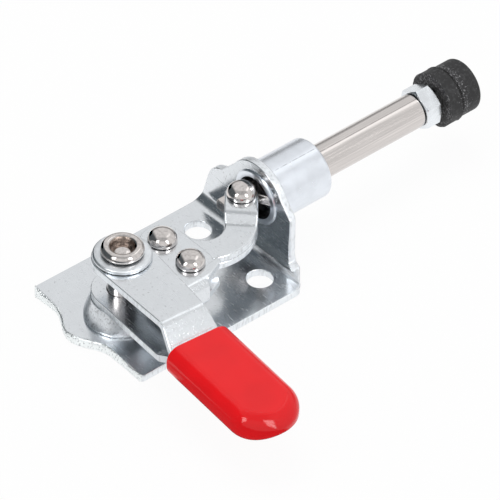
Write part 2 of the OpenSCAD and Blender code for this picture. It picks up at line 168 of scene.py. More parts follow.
class Finish(Graph):
    """A material whose patterns are measured in millimetres on the piece."""

    def __init__(self, name, color, metallic=1.0, specular=0.5):
        self.material = bpy.data.materials.new(name)
        self.material.use_nodes = True
        super().__init__(self.material.node_tree)
        self.shader = self.tree.nodes["Principled BSDF"]
        self.feed("Base Color", (*color, 1.0))
        self.feed("Metallic", metallic)
        self.feed("Specular IOR Level", specular)
        self.place = self.node("ShaderNodeTexCoord", output="Object")
        self.bumps = None

    def feed(self, socket, value):
        """Gives a signal or a constant to a socket of the surface shader."""
        self.plug(self.shader.inputs[socket], value)

    def mottle(self, size, detail=2.0, stretch=(1, 1, 1), offset=0.0):
        """Noise with features about size millimetres across, drawn out along an axis by stretch."""
        scale = [1 / mm(size) / s for s in stretch]
        sockets = {"Vector": self.place, "Scale": scale, "Location": (offset,) * 3}
        vector = self.node("ShaderNodeMapping", None, sockets)
        sockets = {"Vector": vector, "Scale": 1.0, "Detail": detail}
        return self.node("ShaderNodeTexNoise", None, sockets)

    def line(self, degrees, half):
        """A fine line along the plunger's axis, for painted reflection lines: its angle from the
        top and half its width.
        """
        apart = self.node("ShaderNodeSeparateXYZ", None, {"Vector": self.place})
        across, up = apart.other("Y"), apart.other("Z")
        angle = across.math("ARCTAN2", across, up - AXIS_Z)
        core, edge = math.radians(half * 0.4), math.radians(half)
        return abs(angle - math.radians(degrees)).ramp(core, edge, 1.0, 0.0)

    def tint(self, factor, a, b):
        """Goes from one colour to another, each a tuple or a signal, as factor goes from 0 to 1."""
        a, b = ((*color, 1) if isinstance(color, tuple) else color for color in (a, b))
        return self.node("ShaderNodeMix", {"data_type": "RGBA"}, {0: factor, 6: a, 7: b}, output=2)

    def relief(self, height, depth):
        """Adds bumps, with depth in millimetres for a change of 1 in height."""
        sockets = {"Strength": 1.0, "Distance": mm(depth), "Height": height}
        if self.bumps is not None:
            sockets["Normal"] = self.bumps
        self.bumps = self.node("ShaderNodeBump", None, sockets)
        self.feed("Normal", self.bumps)


def shade(color, factor):
    """The colour, lighter or darker by a factor."""
    return tuple(min(c * factor, 1.0) for c in color)


def plated_sheet(color):
    """Bright zinc plate on smooth rolled sheet."""
    finish = Finish("Zinc plated sheet", color)
    broad, fine = finish.mottle(7), finish.mottle(0.35, 3)
    specks, cloud = finish.mottle(0.5, 4, offset=3.0), finish.mottle(1.3, 4, offset=8.0)
    rubs = finish.mottle(0.3, 2, (1, 9, 1), offset=5.0)
    pale = finish.tint(broad * 0.5 + cloud * 0.5, shade(color, 0.88), shade(color, 1.04))
    finish.feed("Base Color", finish.tint(specks.ramp(0.62, 0.72), pale, shade(color, 0.72)))
    finish.feed("Roughness", 0.13 + broad * 0.08 + fine * 0.08 + rubs.ramp(0.58, 0.75) * 0.2)
    finish.relief(finish.mottle(5, 1), 0.06)
    finish.relief(fine, 0.003)
    return finish.material


def sheared_edge(color):
    """The same plate over a sheared or punched edge, with its burnished band and torn grain."""
    light = shade(color, 1.12)
    finish = Finish("Zinc plated shear edge", light)
    tears = finish.mottle(0.5, 4, (1, 1, 4))
    finish.feed("Base Color", finish.tint(tears.ramp(0.3, 0.55), shade(color, 0.85), light))
    finish.feed("Roughness", 0.26 + tears * 0.25)
    finish.relief(tears, 0.06)
    return finish.material


def torn_edge(color):
    """The rear edge of the base, crushed and burred by its punch."""
    finish = Finish("Zinc plated torn edge", shade(color, 1.15))
    crush, grain = finish.mottle(0.9, 3), finish.mottle(0.28, 4, offset=2.0)
    rough = finish.tint(grain.ramp(0.34, 0.44), shade(color, 0.45), shade(color, 1.2))
    finish.feed("Base Color", rough)
    finish.feed("Roughness", 0.34 + crush * 0.2)
    finish.relief(crush, 0.2)
    finish.relief(grain, 0.05)
    return finish.material


def plated_turning(color):
    """Zinc plate over turned steel, with faint tool marks."""
    finish = Finish("Zinc plated turning", shade(color, 1.08))
    marks, soft = finish.mottle(0.18, 2, (1, 8, 8)), finish.mottle(3)
    finish.feed("Base Color", finish.tint(soft.ramp(0.35, 0.65), color, shade(color, 1.12)))
    finish.feed("Roughness", 0.2 + soft * 0.12)
    finish.relief(marks, 0.004)
    return finish.material


def plated_washer(color):
    """Zinc plate over a tumbled washer, duller than the sheet."""
    finish = Finish("Zinc plated washer", shade(color, 1.08))
    soft, fine = finish.mottle(1.6, 3), finish.mottle(0.3, 3)
    dull = finish.tint(soft.ramp(0.35, 0.65), shade(color, 0.97), shade(color, 1.12))
    finish.feed("Base Color", dull)
    finish.feed("Roughness", 0.36 + fine * 0.12)
    finish.relief(soft, 0.04)
    finish.relief(fine, 0.012)
    return finish.material


def plated_barrel(color):
    """Zinc plate over the barrel, with a painted dark reflection line along it."""
    pale = (color[0] * 1.06, color[1] * 1.07, min(color[2] * 1.1, 1.0))
    finish = Finish("Zinc plated barrel", pale)
    soft, dots = finish.mottle(2.4), finish.mottle(0.5, 2, offset=1.0)
    cloud = finish.tint(soft.ramp(0.35, 0.65), shade(pale, 0.93), pale)
    # Painted reflection: a dotted dark line along the barrel, beside its highlight band.
    line = finish.line(-15, 0.9) * dots.ramp(0.35, 0.55)
    finish.feed("Base Color", finish.tint(line, cloud, shade(pale, 0.5)))
    finish.feed("Roughness", 0.24 + soft * 0.1)
    finish.relief(finish.mottle(0.4, 3), 0.008)
    return finish.material


def painted_shade(color):
    """Near black painted shade, faintly mottled, for bores, under heads and rims, and in gaps."""
    finish = Finish("Dark bore", shade(color, 0.09))
    blotch = finish.mottle(1.2, 3)
    mottled_dark = finish.tint(blotch.ramp(0.4, 0.65), shade(color, 0.05), shade(color, 0.2))
    finish.feed("Base Color", mottled_dark)
    finish.feed("Roughness", 0.3 + blotch * 0.3)
    return finish.material


def speckled_turning(color):
    """Zinc plate over a sawn and tumbled spacer."""
    finish = Finish("Zinc plated spacer", color)
    pits = finish.mottle(0.4, 4)
    speckled = finish.tint(pits.ramp(0.35, 0.5), shade(color, 0.75), shade(color, 1.1))
    finish.feed("Base Color", speckled)
    finish.feed("Roughness", 0.24 + pits * 0.16)
    finish.relief(pits, 0.035)
    return finish.material


def drawn_steel(color):
    """Bright drawn bar, polished along its length, with a painted dark reflection line."""
    finish = Finish("Polished plunger steel", color)
    streaks, dots = finish.mottle(0.22, 3, (60, 1, 1)), finish.mottle(0.7, 2, (3, 1, 1), offset=4.0)
    bright = finish.tint(streaks.ramp(0.4, 0.62), shade(color, 0.88), color)
    # Painted reflection: a dotted dark line along the bar, beside its highlight band.
    line = finish.line(-12, 1.6) * dots.ramp(0.3, 0.5)
    finish.feed("Base Color", finish.tint(line, bright, shade(color, 0.45)))
    finish.feed("Roughness", 0.14 + streaks * 0.12)
    finish.relief(streaks, 0.002)
    return finish.material


def screw_steel(color):
    """Bright turned steel of the screw and the stop's spacer."""
    finish = Finish("Turned screw steel", color)
    rings = finish.mottle(0.3, 3)
    finish.feed("Base Color", finish.tint(rings.ramp(0.35, 0.65), shade(color, 0.8), color))
    finish.feed("Roughness", 0.2 + rings * 0.15)
    return finish.material


def rivet_steel(color):
    """Mirror-bright rivet heads with fine rubs."""
    finish = Finish("Polished rivet steel", color)
    rubs = finish.mottle(0.5, 4)
    rubbed = finish.tint(rubs.ramp(0.35, 0.75), shade(color, 0.95), shade(color, 0.75))
    finish.feed("Base Color", rubbed)
    finish.feed("Roughness", 0.08 + rubs.ramp(0.45, 0.75) * 0.16)
    finish.relief(finish.mottle(1.3, 1), 0.012)
    return finish.material


def recess_shade(color):
    """Dark brown painted shade on the walls of the rolled rivet's recess."""
    brown = (color[0] * 0.42, color[1] * 0.36, color[2] * 0.32)
    finish = Finish("Rivet recess", brown)
    blotch = finish.mottle(0.8, 3)
    mottled_dark = finish.tint(blotch.ramp(0.35, 0.65), shade(brown, 0.6), shade(brown, 1.3))
    finish.feed("Base Color", mottled_dark)
    finish.feed("Roughness", 0.25 + blotch * 0.25)
    finish.relief(blotch, 0.03)
    return finish.material


def dipped_vinyl(color):
    """Dipped vinyl with a soft, slightly uneven skin."""
    finish = Finish("Dipped red vinyl", color, metallic=0.0, specular=0.32)
    flow, skin = finish.mottle(6, 1), finish.mottle(1.5, 1)
    finish.feed("Base Color", finish.tint(flow.ramp(0.3, 0.7), shade(color, 0.94), color))
    finish.feed("Roughness", 0.06 + skin * 0.04)
    finish.relief(flow, 0.16)
    return finish.material


def moulded_rubber(color):
    """Satin black rubber, dusty and slightly pitted, with pale crumbs by its seam, and pale flash
    crumbs with a painted highlight at its rear rim.
    """
    finish = Finish("Moulded black rubber", color, metallic=0.0, specular=0.35)
    dust, pits = finish.mottle(0.6, 5), finish.mottle(0.18, 2)
    crumbs = finish.mottle(0.24, 2, offset=6.0)
    skin = finish.tint(dust.ramp(0.45, 0.75), color, shade(color, 2.4))
    place = finish.node("ShaderNodeSeparateXYZ", None, {"Vector": finish.place})
    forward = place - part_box("tip_rubber")[0].x
    beside = abs(forward - mm(PARTING + 0.6)).ramp(mm(0.3), mm(1.5), 0.13, 0.0)
    # Pale flash crumbs at the rear rim, partly a painted highlight where the rim catches light.
    rim = forward.ramp(mm(0.1), mm(0.45), 0.14, 0.0)
    pale = finish.tint((crumbs + beside + rim).ramp(0.69, 0.74), skin, shade(color, 10))
    seam = abs(forward - mm(PARTING) + dust * mm(0.3)).ramp(mm(0.1), mm(0.25), 1.0, 0.0)
    finish.feed("Base Color", finish.tint(seam, pale, shade(color, 0.15)))
    finish.feed("Roughness", 0.45 + dust * 0.25)
    finish.relief(dust, 0.05)
    finish.relief(pits, 0.02)
    return finish.material


# Each finish by name: what makes it, its colour in the panel, and the slot of its pieces
FINISHES = {
    "sheet": (plated_sheet, "zinc", "zinc_sheet"),
    "edge": (sheared_edge, "zinc", "zinc_sheet"),
    "torn": (torn_edge, "zinc", "zinc_sheet"),
    "turning": (plated_turning, "zinc", "zinc_turned"),
    "washer": (plated_washer, "zinc", "zinc_turned"),
    "barrel": (plated_barrel, "zinc", "zinc_turned"),
    # The bore finish is painted shade, put in bores, under heads and rims, and in gaps.
    "bore": (painted_shade, "zinc", "zinc_turned"),
    "spacer": (speckled_turning, "zinc", "zinc_turned"),
    "bar": (drawn_steel, "steel", "bright_steel"),
    "screw": (screw_steel, "steel", "bright_steel"),
    "rivet": (rivet_steel, "steel", "bright_steel"),
    # The recess finish is dark brown painted shade.
    "recess": (recess_shade, "steel", "bright_steel"),
    "vinyl": (dipped_vinyl, "vinyl", "red_vinyl"),
    "rubber": (moulded_rubber, "rubber", "black_rubber"),
}
made_finishes = {}


def finish_of(name):
    """The material of that finish, made once in the panel's colour."""
    if name not in made_finishes:
        make, color, _ = FINISHES[name]
        made_finishes[name] = make(tuple(getattr(bpy.context.scene.clamp_colors, color)))
    return made_finishes[name]


# Mesh tools


def from_cad(node):
    """A merged copy of a CAD node's mesh, with its flat faces whole and no tiny edges."""
    bm = bmesh.new()
    bm.from_mesh(NODES[node].data)
    bmesh.ops.remove_doubles(bm, verts=bm.verts, dist=mm(0.002))
    flat = math.radians(0.4)
    bmesh.ops.dissolve_limit(bm, angle_limit=flat, verts=bm.verts, edges=bm.edges)
    bmesh.ops.dissolve_degenerate(bm, dist=mm(0.1), edges=bm.edges)
    return bm


def bevel(bm, edges, width, segments, clamp=False):
    """Rounds the edges."""
    bmesh.ops.bevel(
        bm,
        geom=edges,
        offset=width,
        offset_type="OFFSET",
        segments=segments,
        profile=0.5,
        affect="EDGES",
        clamp_overlap=clamp,
        material=-1,
    )


def soften(bm, width, angle=35.0, segments=2, where=None, outline=False, clamp=False):
    """Rounds the edges that are sharper than angle.

    Where picks among them by their middles, and outline leaves only the rims of upright walls.
    """
    limit = math.radians(angle)

    def picked(edge):
        if len(edge.link_faces) != 2 or edge.calc_face_angle(0) < limit:
            return False
        steep = [abs(face.normal.z) < 0.3 for face in edge.link_faces]
        if outline and steep[0] == steep[1]:
            return False
        return where is None or where((edge.verts[0].co + edge.verts[1].co) / 2)

    bm.normal_update()
    bevel(bm, [edge for edge in bm.edges if picked(edge)], width, segments, clamp)


def keep_inside(bm, node):
    """Holds the mesh within the CAD node's box."""
    low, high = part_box(node)
    for vert in bm.verts:
        vert.co = Vector(min(max(c, a), b) for c, a, b in zip(vert.co, low, high))


def turned(profile, steps=96, closed=False):
    """A lathe shape about Z from (radius, height) points in millimetres."""
    bm = bmesh.new()
    points = [bm.verts.new((mm(r), 0, mm(z))) for r, z in profile]
    pairs = list(zip(points, points[1:]))
    if closed:
        pairs.append((points[-1], points[0]))
    edges = [bm.edges.new(pair) for pair in pairs]
    bmesh.ops.spin(
        bm,
        geom=points + edges,
        cent=(0, 0, 0),
        axis=(0, 0, 1),
        angle=math.tau,
        steps=steps,
        use_merge=True,
        use_duplicate=False,
    )
    bmesh.ops.remove_doubles(bm, verts=bm.verts, dist=mm(0.001))
    bmesh.ops.recalc_face_normals(bm, faces=bm.faces)
    return bm


def arc(r0, z0, radius, start, end, count=12):
    """Points of a rounded stretch of a lathe profile, in degrees from the outward direction."""
    angles = [math.radians(start + (end - start) * i / count) for i in range(count + 1)]
    return [(r0 + radius * math.cos(a), z0 + radius * math.sin(a)) for a in angles]


def cap(diameter, height, base, count=14):
    """Profile of a ball-shaped head from its rim to its middle. A negative height hangs down."""
    half, up = diameter / 2, abs(height)
    ball = (half * half + up * up) / (2 * up)
    rim = math.degrees(math.asin((ball - up) / ball)) if ball > up else 0.0
    sign = 1 if height > 0 else -1
    return [(r, base + sign * (z - (ball - up))) for r, z in arc(0, 0, ball, rim, 90, count)]


def button(radius, rise, base, power=2.5, count=22):
    """Profile of a head that is flatter on top than a ball and rounder at its rim."""
    points = []
    for i in range(count + 1):
        angle = math.radians(90 * i / count)
        out = max(math.cos(angle), 0.0) ** (2 / power)
        up = math.sin(angle) ** (2 / power)
        points.append((radius * out, base + rise * up))
    return points


def upright(bm, plan, height=0.0):
    """Stands a lathe shape at a point in plan."""
    bmesh.ops.translate(bm, verts=bm.verts, vec=(plan[0], plan[1], height))
    return bm


def lengthwise(bm):
    """Lays a lathe shape along the plunger's axis: its height becomes X."""
    quarter = Matrix.Rotation(math.radians(90), 3, "Y")
    bmesh.ops.rotate(bm, verts=bm.verts, cent=(0, 0, 0), matrix=quarter)
    bmesh.ops.translate(bm, verts=bm.verts, vec=(0, 0, AXIS_Z))
    return bm


def join(bm, other):
    """Moves another mesh into bm."""
    holder = bpy.data.meshes.new("holder")
    other.to_mesh(holder)
    other.free()
    bm.from_mesh(holder)
    bpy.data.meshes.remove(holder)


def show(bm, name, body, finish, node, others=(), angle=35.0):
    """Turns the mesh into a piece that rides on its body and stands for a CAD node.

    Others pairs each further finish with a test of the normal and the centre of a face.
    Edges that are sharper than angle are shaded sharp.
    """
    mesh = bpy.data.meshes.new(name)
    mesh.materials.append(finish_of(finish))
    bm.normal_update()
    for index, (key, test) in enumerate(others, 1):
        mesh.materials.append(finish_of(key))
        for face in bm.faces:
            if test(face.normal, face.calc_center_median()):
                face.material_index = index
    for face in bm.faces:
        face.smooth = True
    bm.to_mesh(mesh)
    bm.free()
    mesh.set_sharp_from_angle(angle=math.radians(angle))
    piece = bpy.data.objects.new(name, mesh)
    bpy.context.scene.collection.objects.link(piece)
    weights = piece.modifiers.new("Flat faces stay flat", "WEIGHTED_NORMAL")
    weights.keep_sharp = True
    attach(piece, body)
    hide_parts(node)


# Colours and sizes in the panel


class ClampColors(bpy.types.PropertyGroup):
    """Base colours of the finishes."""

    zinc: bpy.props.FloatVectorProperty(
        name="Zinc",
        description="Plated sheet and turnings",
        default=(0.80, 0.83, 0.86),
        subtype="COLOR",
    )
    steel: bpy.props.FloatVectorProperty(
        name="Steel",
        description="Rivets, plunger and screw",
        default=(0.74, 0.70, 0.68),
        subtype="COLOR",
    )
    vinyl: bpy.props.FloatVectorProperty(
        name="Vinyl",
        description="Dipped grip",
        default=(0.87, 0.010, 0.014),
        subtype="COLOR",
    )
    rubber: bpy.props.FloatVectorProperty(
        name="Rubber",
        description="Tip of the plunger",
        default=(0.025, 0.025, 0.026),
        subtype="COLOR",
    )


class ClampSizes(bpy.types.PropertyGroup):
    """Sizes of what is modelled here. What the frame gives is read from the frame."""

    sheet_edge: bpy.props.FloatProperty(
        name="Sheet edge",
        description="Rounding of sheared edges",
        default=mm(0.16),
        unit="LENGTH",
    )
    stamped_edge: bpy.props.FloatProperty(
        name="Stamped edge",
        description="Rounding of the link's edges",
        default=mm(0.28),
        unit="LENGTH",
    )
    turned_edge: bpy.props.FloatProperty(
        name="Turned edge",
        description="Rounding of turned edges",
        default=mm(0.2),
        unit="LENGTH",
    )
    lean: bpy.props.FloatProperty(
        name="Lean",
        description="Handle's lean from the crosswise line",
        default=math.radians(4.5),
        subtype="ANGLE",
    )
    grip_start: bpy.props.FloatProperty(
        name="Grip start",
        description="From the pivot to the grip's mouth",
        default=mm(21.8),
        unit="LENGTH",
    )
    grip_length: bpy.props.FloatProperty(
        name="Grip length",
        description="Length of the grip",
        default=mm(24.7),
        unit="LENGTH",
    )
    grip_width: bpy.props.FloatProperty(
        name="Grip width",
        description="Width of the grip",
        default=mm(13),
        unit="LENGTH",
    )
    grip_thickness: bpy.props.FloatProperty(
        name="Grip thickness",
        description="Thickness of the grip",
        default=mm(6),
        unit="LENGTH",
    )
    grip_wall: bpy.props.FloatProperty(
        name="Grip wall",
        description="Wall of the dipped grip",
        default=mm(1.5),
        unit="LENGTH",
    )
    grip_round: bpy.props.FloatProperty(
        name="Grip rounding",
        description="Rounding of the grip's edges",
        default=mm(2.6),
        unit="LENGTH",
    )
    nose_length: bpy.props.FloatProperty(
        name="Nose length",
        description="Length over which the grip thins to its nose",
        default=mm(7),
        unit="LENGTH",
    )
    nose_taper: bpy.props.FloatProperty(
        name="Nose taper",
        description="Share of its thickness that the grip loses at its nose",
        default=0.5,
        subtype="FACTOR",
    )
    thread_pitch: bpy.props.FloatProperty(
        name="Pitch",
        description="Pitch of the tip screw",
        default=mm(0.7),
        unit="LENGTH",
    )


# Pieces


class CLAMP_OT_base(bpy.types.Operator):
    """Folded base sheet, barrel and spacer"""

    bl_idname = "clamp.base"
    bl_label = "Base and barrel"
    bl_options = {"REGISTER", "UNDO"}

    def execute(self, context):
        sizes = context.scene.clamp_sizes
        self.make_sheet(sizes)
        self.make_barrel()
        radius, bottom, top = upright_size("pivot_spacer")
        bore, neck, foot = 2.6, 5.4, bottom + 0.6
        profile = [(bore, bottom), (radius, bottom), (radius, foot), (neck, top), (bore, top)]
        bm = turned(profile, closed=True)
        soften(bm, sizes.turned_edge)
        show(upright(bm, PIVOT), "Spacer", "base", "spacer", "pivot_spacer")
        return {"FINISHED"}

    def make_sheet(self, sizes):
        """The sheet, with rounded corners and a torn rear edge."""
        bm = from_cad("base_plate")
        low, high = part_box("base_plate")
        side, rear = high.y - mm(0.1), low.x + mm(3.2)
        flange_side, flange_foot = -mm(8.9), mm(3)
        corner_round, flange_round, rear_round = mm(0.9), mm(0.5), mm(0.55)

        def on_corner(point):
            halfway_up = mm(0.5) < point.z < mm(1)
            return abs(point.y) > side and halfway_up

        def on_near_flange(point):
            return point.y < flange_side and point.z > flange_foot

        def on_rear(point):
            return point.x < rear and abs(point.y) < side - mm(1)

        soften(bm, corner_round, segments=4, where=on_corner)
        soften(bm, flange_round, segments=4, where=on_near_flange)
        soften(bm, rear_round, segments=5, where=on_rear)
        soften(bm, sizes.sheet_edge)
        self.tear(bm, rear, high.y)
        keep_inside(bm, "base_plate")

        def cut_edge(normal, centre):
            top = normal.z > 0.3 and abs(normal.x) < 0.3 and centre.z > mm(5)
            return abs(normal.y) > 0.4 or top

        def torn(normal, centre):
            return normal.x < -0.12 and centre.x < rear

        others = (("edge", cut_edge), ("torn", torn))
        show(bm, "Base", "base", "sheet", "base_plate", others)

    def tear(self, bm, rear, far_side):
        """Crushes the rear edge and raises a burr on it, which is tallest at the far corner."""
        crushed, burr, corner_burr, corner_reach = mm(0.16), mm(0.75), mm(0.8), mm(2.5)
        rim = [e for e in bm.edges if all(v.co.x < rear and v.normal.x < -0.1 for v in e.verts)]
        coarse = [edge for edge in rim if edge.calc_length() > mm(0.4)]
        bmesh.ops.subdivide_edges(bm, edges=coarse, cuts=2)
        bm.normal_update()
        for vert in bm.verts:
            if vert.co.x < rear and vert.normal.x < -0.1 and vert.co.z > mm(0.3):
                crush = noise.noise(vert.co * 900) * 0.5 + noise.noise(vert.co * 2600) * 0.5
                lift = noise.noise(vert.co * 350 + Vector((3, 1, 2)))
                corner = max(0.0, vert.co.y - far_side + corner_reach) / corner_reach
                vert.co += vert.normal * crushed * min(crush, 0.1)
                if vert.co.z > mm(0.9):
                    vert.co.z += burr * max(lift + 0.35, 0.0) + corner_burr * corner**2

    def make_barrel(self):
        """The barrel, which is rolled over the edge of the flange's hole."""
        rear, front = ends("plunger_barrel")
        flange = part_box("base_plate")[1].x * 1000
        bore, mouth, outer, lip = 3.2, 4.15, 5.6, 5.25
        rounding, step, back = 0.5, flange + 1.1, flange - 1.5
        profile = [(bore, front), (outer - rounding, front)]
        profile += arc(outer - rounding, front - rounding, rounding, 90, 0, 5)
        profile += [(outer, flange), (mouth, flange), (mouth, back), (lip - 0.1, back)]
        profile += [(lip, back - 0.1), (lip - 0.15, rear + 0.06), (lip - 0.3, rear)]
        profile += [(mouth - 0.1, rear)]
        profile += arc(mouth + 0.2, rear + rounding, rounding, 225, 180, 4)
        profile += [(mouth - 0.3, step), (bore, step)]

        # The bore finish paints shade inside the barrel's bore.
        def inside(normal, centre):
            out = Vector((0, centre.y, centre.z - AXIS_Z))
            return normal.dot(out) < 0 and out.length < mm(mouth + 0.15)

        bm = lengthwise(turned(profile, closed=True))
        show(bm, "Barrel", "base", "barrel", "plunger_barrel", (("bore", inside),))


class CLAMP_OT_main_rivet(bpy.types.Operator):
    """Main rivet with its rolled lip, and the washer under it"""

    bl_idname = "clamp.main_rivet"
    bl_label = "Main rivet"
    bl_options = {"REGISTER", "UNDO"}

    def execute(self, context):
        self.make_washer()
        self.make_rivet()
        return {"FINISHED"}

    def make_washer(self):
        """The washer, with a chamfer below and a round rim above."""
        radius, bottom, top = upright_size("pivot_washer")
        bore, rounding = 2.6, 0.45
        profile = [(bore, bottom), (radius - 0.2, bottom), (radius - 0.15, bottom + 0.14)]
        profile += [(radius, bottom + 0.24)]
        profile += arc(radius - rounding, top - 0.53, rounding, 0, 75, 6)
        profile += [(radius - 1.1, top), (bore, top)]

        # The bore finish paints shadow on the chamfer under the washer.
        def under_rim(normal, centre):
            return centre.z < mm(bottom + 0.15)

        bm = upright(turned(profile, closed=True), PIVOT)
        show(bm, "Washer", "base", "washer", "pivot_washer", (("bore", under_rim),), 50)

    def make_rivet(self):
        """The rivet, countersunk at its foot and rolled over a domed recess at its head."""
        roll, lip, shank, recess = 0.95, 2.85, 2.55, 1.9
        foot, countersink, dome, dome_rise = 3.3, 0.75, 3.6, 0.45
        roll_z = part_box("main_rivet")[1].z * 1000 - roll
        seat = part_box("pivot_washer")[1].z * 1000
        floor = seat + 0.2
        profile = [(0, 0), (foot, 0), (shank, countersink), (shank, seat), (foot, seat)]
        profile += [(foot, seat + 0.25)]
        profile += arc(lip, roll_z, roll, -60, 180, 22)
        profile += [(recess - 0.01, roll_z - 0.2), (recess - 0.02, floor + 0.1)]
        profile += [(recess - 0.08, floor)] + cap(dome, dome_rise, floor)

        # The recess finish paints shade on the recess's walls.
        def inside(normal, centre):
            near = (centre.xy - PIVOT).length < mm(recess + 0.35)
            return near and normal.z < 0.8 and centre.z > mm(floor)

        # The bore finish paints shade under the roll.
        def under_roll(normal, centre):
            low = mm(seat - 0.01) < centre.z < mm(seat + 0.42)
            return low and normal.z < 0.35 and not inside(normal, centre)

        others = (("recess", inside), ("bore", under_roll))
        bm = upright(turned(profile), PIVOT)
        show(bm, "Main_Rivet", "base", "rivet", "main_rivet", others, 50)


class CLAMP_OT_small_rivets(bpy.types.Operator):
    """Domed rivets of the crank, stop and plunger pin, and the stop's spacer"""

    bl_idname = "clamp.small_rivets"
    bl_label = "Small rivets"
    bl_options = {"REGISTER", "UNDO"}

    def execute(self, context):
        self.make_rivet("Crank_Rivet", "handle", "crank_rivet")
        self.make_rivet("Stop_Rivet", "handle", "stop_rivet")
        self.make_rivet("Plunger_Pin", "link", "plunger_pin")
        _, bottom, top = upright_size("stop_spacer")
        bore, outer = 1.62, 2.2
        profile = [(bore, bottom), (outer, bottom), (outer, top), (bore, top)]
        bm = upright(turned(profile, closed=True), middle("stop_spacer"))
        show(bm, "Stop_Spacer", "handle", "screw", "stop_spacer")
        return {"FINISHED"}

    def make_rivet(self, name, body, node):
        """A rivet with a small ball-shaped tail and a broad head that stands a little off."""
        head, rise, tail, drop, shank, gap = 2.6, 2.1, 4.4, 1.1, 1.6, 0.2
        _, low, high = upright_size(node)
        bottom, top = low + drop, high - rise
        profile = list(reversed(cap(tail, -drop, bottom)))
        profile += [(shank, bottom), (shank, top), (head - 0.4, top), (head - 0.1, top + 0.16)]
        profile += button(head, rise - gap, top + gap)

        # The bore finish paints a shadow line under the head.
        def under_head(normal, centre):
            return mm(top - 0.01) < centre.z < mm(top + 0.17)

        bm = upright(turned(profile), middle(node))
        show(bm, name, body, "rivet", node, (("bore", under_head),), 50)


class CLAMP_OT_handle(bpy.types.Operator):
    """Folded handle strip and the crank bracket inside it"""

    bl_idname = "clamp.handle"
    bl_label = "Handle and crank"
    bl_options = {"REGISTER", "UNDO"}

    def execute(self, context):
        sizes = context.scene.clamp_sizes
        across = Vector((math.cos(sizes.lean), -math.sin(sizes.lean), 0))
        arm_end = -mm(4)

        def strip_edge(normal, centre):
            round_end = abs(normal.z) < 0.4 and centre.y > arm_end
            return abs(normal.dot(across)) > 0.5 or round_end

        bm = from_cad("handle_strip")
        soften(bm, sizes.sheet_edge)
        show(bm, "Handle_Strip", "handle", "sheet", "handle_strip", (("edge", strip_edge),))
        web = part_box("crank_bracket")[0].y + mm(2)

        def crank_edge(normal, centre):
            return abs(normal.z) < 0.35 and (centre.y > web or abs(normal.y) < 0.5)

        bm = from_cad("crank_bracket")
        soften(bm, sizes.sheet_edge)
        show(bm, "Crank", "handle", "sheet", "crank_bracket", (("edge", crank_edge),))
        return {"FINISHED"}


class CLAMP_OT_link(bpy.types.Operator):
    """The two plates of the link"""

    bl_idname = "clamp.link"
    bl_label = "Link"
    bl_options = {"REGISTER", "UNDO"}

    def execute(self, context):
        sizes = context.scene.clamp_sizes

        def wall(normal, centre):
            return abs(normal.z) < 0.35

        for node, name in (("link_upper_plate", "Link_Upper"), ("link_lower_plate", "Link_Lower")):
            bm = from_cad(node)
            soften(bm, sizes.stamped_edge, segments=3, outline=True)
            show(bm, name, "link", "sheet", node, (("edge", wall),))
        return {"FINISHED"}


class CLAMP_OT_grip(bpy.types.Operator):
    """Dipped vinyl grip with a thick lip at its mouth"""

    bl_idname = "clamp.grip"
    bl_label = "Grip"
    bl_options = {"REGISTER", "UNDO"}

    def execute(self, context):
        sizes = context.scene.clamp_sizes
        bm = bmesh.new()
        self.shape_body(bm, sizes)
        self.open_mouth(bm, sizes)
        turn = Matrix.Rotation(-math.pi / 2 - sizes.lean, 3, "Z")
        bmesh.ops.rotate(bm, verts=bm.verts, cent=(0, 0, 0), matrix=turn)
        low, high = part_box("grip")
        upright(bm, PIVOT, (low.z + high.z) / 2)
        keep_inside(bm, "grip")
        show(bm, "Grip", "handle", "vinyl", "grip")
        return {"FINISHED"}

    def shape_body(self, bm, sizes):
        """A rounded block along X, thinner towards its nose."""
        start, length, width = sizes.grip_start, sizes.grip_length, sizes.grip_width
        nose = start + length
        bmesh.ops.create_cube(bm, size=1.0)
        bmesh.ops.scale(bm, verts=bm.verts, vec=(length, width, sizes.grip_thickness))
        bmesh.ops.translate(bm, verts=bm.verts, vec=(start + length / 2, 0, 0))

        def on_nose(edge):
            a, b = edge.verts[0].co, edge.verts[1].co
            return min(a.x, b.x) > nose - LEVEL and abs(a.y - b.y) < LEVEL

        def on_rim(edge):
            a, b = edge.verts[0].co, edge.verts[1].co
            at_mouth = max(a.x, b.x) < start + LEVEL
            sharp = edge.calc_face_angle(0) > math.radians(60)
            return abs(a.z - b.z) < LEVEL and not at_mouth and sharp

        bevel(bm, [e for e in bm.edges if on_nose(e)], width / 2 - mm(0.05), 30)
        bevel(bm, [e for e in bm.edges if on_rim(e)], sizes.grip_round, 16)
        for vert in bm.verts:
            reach = max(0.0, vert.co.x - nose + sizes.nose_length) / sizes.nose_length
            vert.co.z *= 1 - sizes.nose_taper * reach**3

    def open_mouth(self, bm, sizes):
        """Sinks the mouth into the block's end and rounds its lip."""
        depth, lip_round, limit = mm(2), mm(0.35), sizes.grip_start + LEVEL
        wall = sizes.grip_wall - mm(0.15)
        bm.normal_update()
        faces = [f for f in bm.faces if f.normal.x < -0.99]
        mouth = [f for f in faces if f.calc_center_median().x < limit]
        bmesh.ops.inset_region(bm, faces=mouth, thickness=wall, use_even_offset=True)
        pushed = bmesh.ops.extrude_face_region(bm, geom=mouth)
        moved = [v for v in pushed["geom"] if isinstance(v, bmesh.types.BMVert)]
        bmesh.ops.translate(bm, verts=moved, vec=(depth, 0, 0))
        bmesh.ops.delete(bm, geom=mouth, context="FACES")
        bmesh.ops.recalc_face_normals(bm, faces=bm.faces)

        def on_lip(edge):
            if not edge.is_manifold or edge.calc_face_angle(0) <= math.radians(40):
                return False
            return all(vert.co.x < limit for vert in edge.verts)

        bevel(bm, [e for e in bm.edges if on_lip(e)], lip_round, 4)


